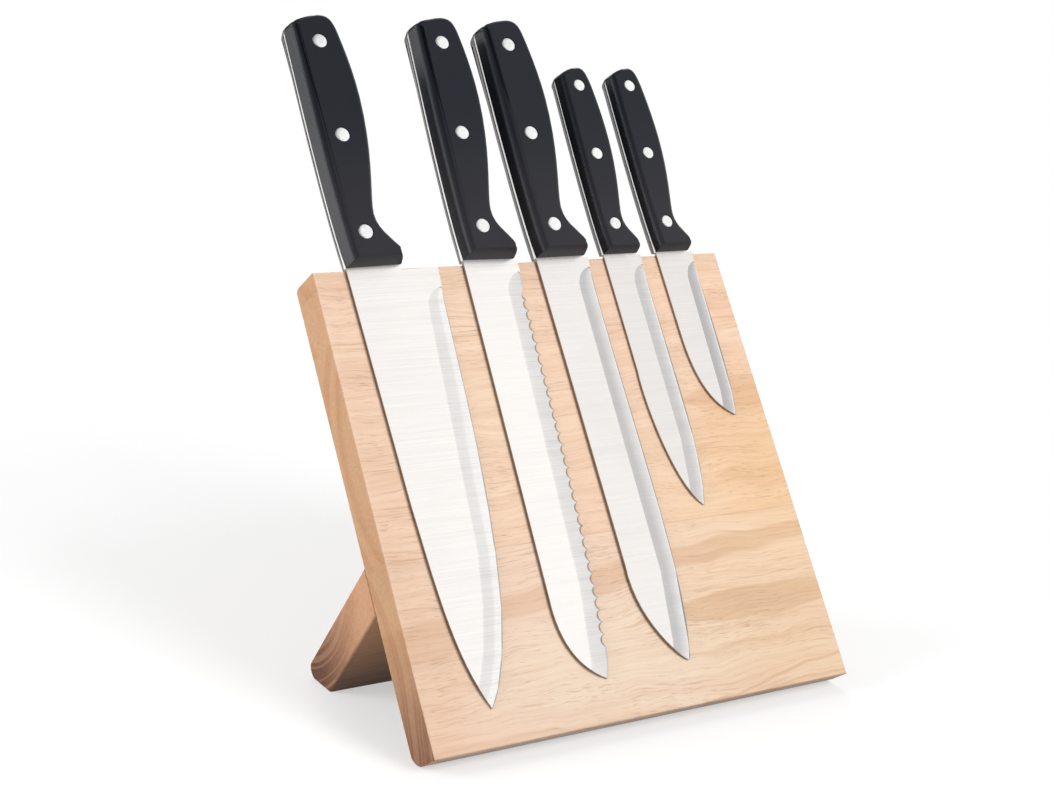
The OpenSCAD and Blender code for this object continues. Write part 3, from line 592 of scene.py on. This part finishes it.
def screw_tree():
    """Countersunk screw along +z from the middle of its head's top, with a cross cut into the head."""
    tree, given, result = sized_tree("countersunk_screw", {
        "Head radius": FLOAT, "Head height": FLOAT, "Shank radius": FLOAT, "Shank length": FLOAT,
        "Slot width": FLOAT, "Slot depth": FLOAT, "Axis": VECTOR, "Finish": FINISH})
    head = geo(tree, "GeometryNodeMeshCone", Vertices=40, Radius_Top=given["Shank radius"],
               Radius_Bottom=given["Head radius"], Depth=given["Head height"])
    size = geo(tree, "ShaderNodeCombineXYZ", X=times(tree, given["Head radius"], 1.15),
               Y=given["Slot width"], Z=times(tree, given["Slot depth"], 2.0))
    bar = geo(tree, "GeometryNodeMeshCube", Size=size.outputs[0])
    cut = geo(tree, "GeometryNodeMeshBoolean", {"operation": "DIFFERENCE"})
    feed(tree, cut.inputs["Mesh 1"], head.outputs[0])
    for turned in (0, math.pi / 2):
        spun = geo(tree, "GeometryNodeTransform", Geometry=bar.outputs[0], Rotation=(0, 0, turned))
        tree.links.new(spun.outputs[0], cut.inputs["Mesh 2"])
    shank = geo(tree, "GeometryNodeMeshCone", Vertices=24, Radius_Top=given["Shank radius"],
                Radius_Bottom=given["Shank radius"], Depth=given["Shank length"])
    lift = geo(tree, "ShaderNodeCombineXYZ", Z=given["Head height"])
    sunk = geo(tree, "GeometryNodeTransform", Geometry=shank.outputs[0], Translation=lift.outputs[0])
    both = geo(tree, "GeometryNodeJoinGeometry")
    tree.links.new(cut.outputs[0], both.inputs[0])
    tree.links.new(sunk.outputs[0], both.inputs[0])
    instanced(tree, given, both.outputs[0], result)
    return tree


def head_middle(points, way):
    """The middle of a screw's top, where the screw points along a way."""
    low = reach(points, way)[0]
    top = [p for p in points if p.dot(way) < low + 1e-5]
    middle = sum(top, Vector()) / len(top)
    middle.x = sum(reach(points, ACROSS)) / 2
    return middle


screws = screw_tree()
CROSS = 0.0009                               # width and depth of the cross in a screw's head
SHANK_SHARE = 0.52                           # a shank's radius as a share of its head's
INTO_LEG = Vector((0, math.sin(LEG_SLOPE), math.cos(LEG_SLOPE)))
for node, way in (("board_screws", OUT), ("leg_screws", INTO_LEG)):
    solids = solids_of(node)
    low, high = reach(solids[0], way)
    left, right = reach(solids[0], ACROSS)
    head_r = (right - left) / 2
    head_t = head_r * (1 - SHANK_SHARE)
    piece = grown(screws, node + "_cross_head", [head_middle(points, way) for points in solids], zinc, {
        "Head radius": head_r, "Head height": head_t, "Shank radius": head_r * SHANK_SHARE,
        "Shank length": high - low - head_t, "Slot width": CROSS, "Slot depth": CROSS, "Axis": way})
    in_place(piece, node)


# ---- Blades ----
# Each blade is a stainless stamping, its flats brushed across, with a ground bevel along the edge, brushed
# more strongly, that runs out in a rounded plunge below the handle. The bevel's greys are painted
# reflection and shade. The bread knife's edge is scalloped.
FLAT_STEEL = (1.0, 0.965, 0.935, 1)
SMUDGED_STEEL = (0.93, 0.895, 0.865, 1)
BRUSHED_STEEL = (0.42, 0.41, 0.40, 1)        # the dark of the brush lines
PAINTED_WALL_SHADE = (0.32, 0.265, 0.22, 1)          # the thin walls round the stamping, painted dark as a painted reflection of shaded wood
SHADE_CRESCENT_WIDTH = 0.0009                        # how wide the crescent of painted shade behind each scallop is


def ramp(tree, place, stops):
    """Grey that passes smoothly through given levels at given places, a little warm."""
    node = tree.nodes.new("ShaderNodeValToRGB")
    node.color_ramp.interpolation = "LINEAR"
    feed(tree, node.inputs["Fac"], place)
    row = node.color_ramp.elements
    while len(row) > 1:
        row.remove(row[-1])
    for i, (start, grey) in enumerate(stops):
        stop = row[0] if i == 0 else row.new(start)
        stop.position = start
        stop.color = (grey, grey * 0.975, grey * 0.955, 1)
    return node.outputs["Color"]


def blade_steel(name, flat_level, painted_bevel_levels):
    """Satin steel: brush lines across the blade, and greys from each bevel's shoulder to its edge that are
    painted reflection and shade, with painted dark shade on the walls and the scallops' crescents.
    """
    made, tree, shader = material(name, Metallic=1.0)
    here = own_place(tree, LEAN - math.pi / 2, CORNER)
    lines = noise(tree, stretched(tree, here, (14, 2600, 14)), 3, 0.7)
    broad = noise(tree, stretched(tree, here, (30, 160, 30)), 2)
    slow = noise(tree, stretched(tree, here, (18, 11, 18)), 3, 0.6)
    depth = tree.nodes.new("ShaderNodeAttribute")
    depth.attribute_name = "ground"
    dark = tree.nodes.new("ShaderNodeAttribute")
    dark.attribute_name = "painted_shade"
    ground = spread(tree, depth.outputs["Fac"], 0.002, 0.035)
    clean, smudged = ([c * flat_level for c in colour[:3]] + [1] for colour in (FLAT_STEEL, SMUDGED_STEEL))
    on_flat = blended(tree, spread(tree, slow, 0.48, 0.72, 0.0, 0.5), clean, smudged)
    colour = blended(tree, ground, on_flat, ramp(tree, depth.outputs["Fac"], painted_bevel_levels))
    streak = plus(tree, times(tree, lines, 0.7), times(tree, broad, 0.3))
    most = plus(tree, times(tree, ground, 0.20), 0.07)
    shade = times(tree, spread(tree, streak, 0.42, 0.68), most)
    colour = blended(tree, shade, colour, BRUSHED_STEEL)
    # Painted shade: the walls below the handle and the scallops' crescents are painted dark
    colour = blended(tree, dark.outputs["Fac"], colour, PAINTED_WALL_SHADE)
    feed(tree, shader.inputs["Base Color"], colour)
    feed(tree, shader.inputs["Roughness"], spread(tree, lines, 0.3, 0.7, 0.26, 0.36))
    feed(tree, shader.inputs["Normal"], bump(tree, lines, 0.2, 0.00002))
    return made


def scalloped(joined, bevel, painted_shade):
    """Gives each scallop in a face of the front bevel its own crescent of painted shade, which stands for
    the shadow in the gap under the cutting edge.
    """
    ring = list(bevel.verts)
    count = len(ring)
    turns = []
    for i, vert in enumerate(ring):
        before, after = vert.co - ring[i - 1].co, ring[(i + 1) % count].co - vert.co
        turns.append(math.atan2(before.cross(after).dot(bevel.normal), before.dot(after)))
    cusps = [i for i, turn in enumerate(turns) if turn > math.radians(20)]
    inner = {}
    crescents = []
    for first, last in zip(cusps, cusps[1:] + [cusps[0] + count]):
        run = [i % count for i in range(first, last + 1)]
        chord = (ring[run[-1]].co - ring[run[0]].co).length
        if not (0.0015 < chord < 0.009 and len(run) > 5 and all(turns[i] < 0.03 for i in run[1:-1])):
            continue
        for k, i in enumerate(run[1:-1], 1):
            along = (ring[(i + 1) % count].co - ring[i - 1].co).normalized()
            shade_width = SHADE_CRESCENT_WIDTH * math.sin(math.pi * k / (len(run) - 1)) ** 1.5
            inner[i] = joined.verts.new(ring[i].co + bevel.normal.cross(along) * shade_width)
        crescents.append(run)
    depth = joined.verts.layers.float["ground"]
    for i, vert in inner.items():
        vert[depth] = ring[i][depth]
    if not crescents:
        return
    main = [inner.get(i, vert) for i, vert in enumerate(ring)]
    joined.faces.remove(bevel)
    joined.faces.new(main)
    for run in crescents:
        for a, b in zip(run, run[1:]):
            corners = [ring[a], ring[b]] + [inner[i] for i in (b, a) if i in inner]
            face = joined.faces.new(corners)
            for loop in face.loops:
                loop[painted_shade] = 1.0 if loop.vert in (ring[a], ring[b]) else 0.8


def blade_piece(knife, finish):
    """The CAD blade as one mesh that keeps how deep each point of the bevel is ground, and which of its walls
    and scallop crescents take painted shade.
    """
    node = knife + "_blade"
    joined = merged(node)
    bmesh.ops.dissolve_limit(joined, angle_limit=math.radians(0.4), verts=joined.verts, edges=joined.edges)
    joined.normal_update()
    low, high = reach([v.co for v in joined.verts], OUT)
    half = (high - low) / 2
    depth = joined.verts.layers.float.new("ground")
    painted_shade = joined.loops.layers.float.new("painted_shade")
    for vert in joined.verts:
        place = vert.co.dot(OUT)
        below = min(high - place, place - low) / half
        vert[depth] = 0.0 if below < 0.004 else min(1.0, below / 0.8)
    # The walls below the handle are marked for painted shade
    handle_end = reach(points_of(knife + "_front_scale"), UP)[0]
    for face in joined.faces:
        if abs(face.normal.dot(OUT)) < 0.5 and face.calc_center_median().dot(UP) < handle_end:
            for loop in face.loops:
                loop[painted_shade] = 1.0
    if knife == "bread":
        for face in [f for f in joined.faces if 0.94 < f.normal.dot(OUT) < 0.99995 and len(f.verts) > 20]:
            scalloped(joined, face, painted_shade)
        joined.normal_update()
    bevelled = {f for f in joined.faces if 0.94 < abs(f.normal.dot(OUT)) < 0.99995}
    for face in joined.faces:
        face.smooth = True
    for edge in joined.edges:
        kinds = {f in bevelled for f in edge.link_faces}
        turned = edge.calc_face_angle(math.pi)
        edge.smooth = len(kinds) == 1 and turned < math.radians(25)
    mesh = bpy.data.meshes.new(knife + "_knife_blade")
    joined.to_mesh(mesh)
    joined.free()
    mesh.materials.clear()
    mesh.materials.append(finish)
    piece = bpy.data.objects.new(knife + "_knife_blade", mesh)
    bpy.context.collection.objects.link(piece)
    return in_place(piece, node)


# How light each blade's flats are, and the painted reflection on its bevel from the shoulder at 0 to the
# cutting edge at 1, ending in a painted dark line of shade along the edge
BLADES = {
    "chef": (1.0, [(0.0, 0.92), (0.13, 0.81), (0.54, 0.83), (0.68, 0.93), (0.95, 0.95), (0.975, 0.45)]),
    "bread": (1.0, [(0.0, 0.93), (0.16, 0.80), (0.90, 0.77), (0.96, 0.60)]),
    "slicer": (0.905, [(0.0, 0.66), (0.08, 0.58), (0.35, 0.58), (0.60, 0.68), (0.90, 0.80), (0.955, 0.90),
                       (0.975, 0.30)]),
    "utility": (0.845, [(0.0, 0.60), (0.40, 0.62), (0.80, 0.74), (0.94, 0.88), (0.975, 0.30)]),
    "paring": (0.835, [(0.0, 0.48), (0.40, 0.51), (0.80, 0.64), (0.94, 0.86), (0.975, 0.30)]),
}
for knife, (flat_level, painted_bevel_levels) in BLADES.items():
    blade_piece(knife, blade_steel(knife + "_steel", flat_level, painted_bevel_levels))


# ---- Handle scales ----
# Two moulded scales of black plastic close on each tang. The spine side slopes in from the tang to the outer
# face and is polished round where they meet. The edge side and the butt are rounded, the blade end bevelled.
BLACK = (0.0070, 0.0095, 0.0160, 1)
BLACK_NEAR_BLADE = (0.0260, 0.0248, 0.0300, 1)
BLACK_CLOUDED = (0.0175, 0.0180, 0.0205, 1)
LIP = 0.00025                                # how far a scale stands over the tang along its spine
SCALE_EASE = 0.0003                          # how far its crisp edges are eased
SCALE_CRISP = 17.0                           # the turn, in degrees, from which an edge is crisp


def black_plastic():
    made, tree, shader = material("black_plastic", Specular_IOR_Level=0.19)
    here = own_place(tree, LEAN - math.pi / 2, CORNER)
    cloud = noise(tree, stretched(tree, here, (35, 18, 35)), 3)
    skin = noise(tree, stretched(tree, here, (2600, 2600, 2600)), 2)
    scuff = noise(tree, stretched(tree, here, (900, 60, 900)), 3, 0.7)
    near_blade = spread(tree, parts(tree, here)[1], 0.30, 0.22)
    colour = blended(tree, near_blade, BLACK, BLACK_NEAR_BLADE)
    colour = blended(tree, spread(tree, cloud, 0.3, 0.7, 0.0, 0.3), colour, BLACK_CLOUDED)
    rough = plus(tree, spread(tree, cloud, 0.3, 0.7, 0.27, 0.34), spread(tree, scuff, 0.55, 0.8, 0.0, 0.10))
    feed(tree, shader.inputs["Base Color"], colour)
    feed(tree, shader.inputs["Roughness"], rough)
    feed(tree, shader.inputs["Normal"], bump(tree, skin, 0.2, 0.00002))
    return made


def lipped(inner_way):
    """Reshapes a scale so that the rim of its inner face stands a little over the tang on the spine side."""
    def reshape(joined):
        joined.normal_update()
        inner = max(v.co.dot(inner_way) for v in joined.verts)
        moves = {}
        for vert in joined.verts:
            sides = [f.normal for f in vert.link_faces if abs(f.normal.dot(OUT)) < 0.9]
            if vert.co.dot(inner_way) < inner - 1e-5 or not sides:
                continue
            away = sum(sides, Vector())
            away = (away - away.dot(OUT) * OUT).normalized()
            moves[vert] = away * LIP * min(1.0, max(0.0, (-away.x - 0.3) / 0.5))
        for vert, move in moves.items():
            vert.co += move
    return reshape


def polished_round(piece, inner_way):
    """Turns the shading of a scale's spine slope bit by bit to its outer face, as a polished ridge has it."""
    mesh = piece.data
    outer_way = -inner_way
    heights = [vert.co.dot(outer_way) for vert in mesh.vertices]
    low, high = min(heights), max(heights)
    normals = []
    for corner, old in zip(mesh.loops, mesh.corner_normals):
        rise = (heights[corner.vertex_index] - low) / (high - low)
        on_slope = old.vector.x < -0.2 and old.vector.dot(outer_way) > 0.3
        turn = max(0.0, (rise - 0.4) / 0.6) ** 2 if on_slope else 0.0
        normals.append(old.vector.lerp(outer_way, turn).normalized())
    mesh.normals_split_custom_set(normals)


plastic = black_plastic()
for knife in BLADES:
    for side, inner_way in (("front", -OUT), ("back", OUT)):
        grip = dressed(f"{knife}_{side}_scale", f"{knife}_{side}_grip", plastic, SCALE_EASE, SCALE_CRISP,
                       lipped(inner_way))
        polished_round(grip, inner_way)


# ---- Rivets ----
# Three steel rivets hold each handle together. Their heads are let into the scales, slightly domed and
# lightly scuffed.
RIVET_HEAD_T = 0.003
RIVET_DOME = 0.0002                          # how much lower a head's rim lies than its middle
RIVET_SHANK_R = 0.002


def rivet_tree():
    """Rivet along z, centred on its point: a shank and two domed heads."""
    tree, given, result = sized_tree("handle_rivet", {
        "Head radius": FLOAT, "Head height": FLOAT, "Dome": FLOAT, "Shank radius": FLOAT, "Length": FLOAT,
        "Axis": VECTOR, "Finish": FINISH})
    head = geo(tree, "GeometryNodeMeshCylinder", Vertices=40, Side_Segments=1, Fill_Segments=7,
               Radius=given["Head radius"], Depth=given["Head height"])
    where = geo(tree, "GeometryNodeInputPosition").outputs[0]
    x, y, z = parts(tree, where)
    radius = maths(tree, "SQRT", plus(tree, times(tree, x, x), times(tree, y, y)))
    out = maths(tree, "DIVIDE", radius, given["Head radius"])
    fall = times(tree, maths(tree, "POWER", out, 4.0), given["Dome"])
    on_top = maths(tree, "GREATER_THAN", z, 0.0)
    drop = geo(tree, "ShaderNodeCombineXYZ", Z=times(tree, times(tree, fall, on_top), -1.0))
    domed = geo(tree, "GeometryNodeSetPosition", Geometry=head.outputs[0], Offset=drop.outputs[0])
    shift = times(tree, minus(tree, given["Length"], given["Head height"]), 0.5)
    lift = geo(tree, "ShaderNodeCombineXYZ", Z=shift)
    front = geo(tree, "GeometryNodeTransform", Geometry=domed.outputs[0], Translation=lift.outputs[0])
    back = geo(tree, "GeometryNodeTransform", Geometry=front.outputs[0], Rotation=(math.pi, 0, 0))
    rod_length = minus(tree, given["Length"], times(tree, given["Head height"], 2.0))
    shank = geo(tree, "GeometryNodeMeshCylinder", Vertices=24, Radius=given["Shank radius"], Depth=rod_length)
    both = geo(tree, "GeometryNodeJoinGeometry")
    for shape in (front, back, shank):
        tree.links.new(shape.outputs[0], both.inputs[0])
    instanced(tree, given, both.outputs[0], result)
    return tree


def middle_of(points):
    """The middle of some points, seen across the board, up it and out of it."""
    return sum((sum(reach(points, way)) / 2 * way for way in (ACROSS, UP, OUT)), Vector())


rivet_steel = metal("rivet_steel", (1.0, 1.0, 1.0, 1), 0.26, (900, 900, 900), depth=0.00004, mottle=0.5)
rivets = rivet_tree()
for knife in BLADES:
    node = knife + "_rivets"
    solids = solids_of(node)
    left, right = reach(solids[0], ACROSS)
    low, high = reach(solids[0], OUT)
    piece = grown(rivets, knife + "_rivet_set", [middle_of(points) for points in solids], rivet_steel, {
        "Head radius": (right - left) / 2, "Head height": RIVET_HEAD_T, "Dome": RIVET_DOME,
        "Shank radius": RIVET_SHANK_R, "Length": high - low, "Axis": OUT})
    in_place(piece, node)


# ---- Studio ----
# White paper under one large soft light from the front right, with a weaker one from the left and one from
# behind. The surround is evenly pale, apart from what the steel and the plastic mirror of it.
def lamp(name, place, aim, size, power):
    data = bpy.data.lights.new(name, "AREA")
    data.shape = "DISK"
    data.size = size
    data.energy = power
    made = bpy.data.objects.new(name, data)
    made.location = place
    made.rotation_euler = (Vector(aim) - Vector(place)).to_track_quat("-Z", "Y").to_euler()
    bpy.context.collection.objects.link(made)
    return made


MIDDLE = Vector((0, 0, 0.12))
key = lamp("key", (0.62, -1.6, 1.34), MIDDLE, 1.0, 31.8)
key.visible_glossy = False
lamp("fill_left", (-1.45, 0.36, 0.66), MIDDLE, 1.1, 16)
lamp("back", (0.6, 1.6, 1.2), MIDDLE, 1.2, 10)

# Mirrored, the surround is a pale wall on the left, a dark gap, and a pale right side that dims overhead
AMBIENT = 0.42                               # what the surround gives to matt surfaces
world = bpy.data.worlds.new("surround")
bpy.context.scene.world = world
world.use_nodes = True
sky = world.node_tree
background = sky.nodes["Background"]
sky_rays = sky.nodes.new("ShaderNodeLightPath")
sky_way = sky.nodes.new("ShaderNodeTexCoord")
to_right, _, to_top = parts(sky, sky_way.outputs["Generated"])
left_wall = spread(sky, to_right, -0.6, -0.2, 0.9, 0.12)
right_side = times(sky, spread(sky, to_right, 0.05, 0.38, 0.12, 1.08),
                   spread(sky, to_top, 0.80, 0.92, 1.0, 0.42))
mirrored = maths(sky, "MAXIMUM", left_wall, right_side)
seen = maths(sky, "MAXIMUM", sky_rays.outputs["Is Camera Ray"], sky_rays.outputs["Is Transmission Ray"])
strength = plus(sky, times(sky, sky_rays.outputs["Is Glossy Ray"], minus(sky, mirrored, AMBIENT)), AMBIENT)
strength = plus(sky, times(sky, seen, minus(sky, 1.0, strength)), strength)
feed(sky, background.inputs["Strength"], strength)
background.inputs["Color"].default_value = (1, 1, 1, 1)

# Near the part the paper takes its shadow, and farther out it glows evenly white
FLOOR_R = 12.0
FLOOR_DROP = 0.0002                          # how far the paper lies below the feet
WHITE_PAPER = (0.98, 0.98, 0.98, 1)
BOUNCED_PAPER = (0.30, 0.28, 0.27, 1)        # what the paper gives back to the part
floor_mesh = bpy.data.meshes.new("floor")
disc = bmesh.new()
bmesh.ops.create_circle(disc, cap_ends=True, segments=96, radius=FLOOR_R)
disc.to_mesh(floor_mesh)
disc.free()
floor = bpy.data.objects.new("floor", floor_mesh)
floor.location = (0, 0, -FLOOR_DROP)
bpy.context.collection.objects.link(floor)
paper, sheet, matt = material("paper", Roughness=0.9)
place = sheet.nodes.new("ShaderNodeTexCoord")
away = sheet.nodes.new("ShaderNodeVectorMath")
away.operation = "LENGTH"
feed(sheet, away.inputs[0], place.outputs["Object"])
far = spread(sheet, away.outputs["Value"], 0.2, 0.6, 0.5, 1.0)
rays = sheet.nodes.new("ShaderNodeLightPath")
whiteness = blended(sheet, rays.outputs["Is Diffuse Ray"], WHITE_PAPER, BOUNCED_PAPER)
feed(sheet, matt.inputs["Base Color"], whiteness)
looked_at = maths(sheet, "MAXIMUM", rays.outputs["Is Camera Ray"], rays.outputs["Is Glossy Ray"])
glow = sheet.nodes.new("ShaderNodeEmission")
mix = sheet.nodes.new("ShaderNodeMixShader")
feed(sheet, mix.inputs[0], times(sheet, far, looked_at))
sheet.links.new(matt.outputs[0], mix.inputs[1])
sheet.links.new(glow.outputs[0], mix.inputs[2])
sheet.links.new(mix.outputs[0], sheet.nodes["Material Output"].inputs["Surface"])
floor_mesh.materials.append(paper)

# The camera stands before the board's left side, above its top edge, and looks down to the right
YAW, PITCH, ROLL = math.radians(33.365), math.radians(14.657), math.radians(4.052)
LENS_FROM_CORNER = Vector((-0.35356, -0.58500, 0.33307))
ahead = Vector((math.sin(YAW) * math.cos(PITCH), math.cos(YAW) * math.cos(PITCH), -math.sin(PITCH)))
level_right = Vector((math.cos(YAW), -math.sin(YAW), 0))
right = math.cos(ROLL) * level_right + math.sin(ROLL) * level_right.cross(ahead)
camera_data = bpy.data.cameras.new("camera")
camera_data.lens = 63.536
camera = bpy.data.objects.new("camera", camera_data)
camera.matrix_world = Matrix.Translation(CORNER + LENS_FROM_CORNER) @ Matrix(
    (right, right.cross(ahead), -ahead)).transposed().to_4x4()
bpy.context.collection.objects.link(camera)
bpy.context.scene.camera = camera
bpy.context.scene.view_settings.view_transform = "Standard"
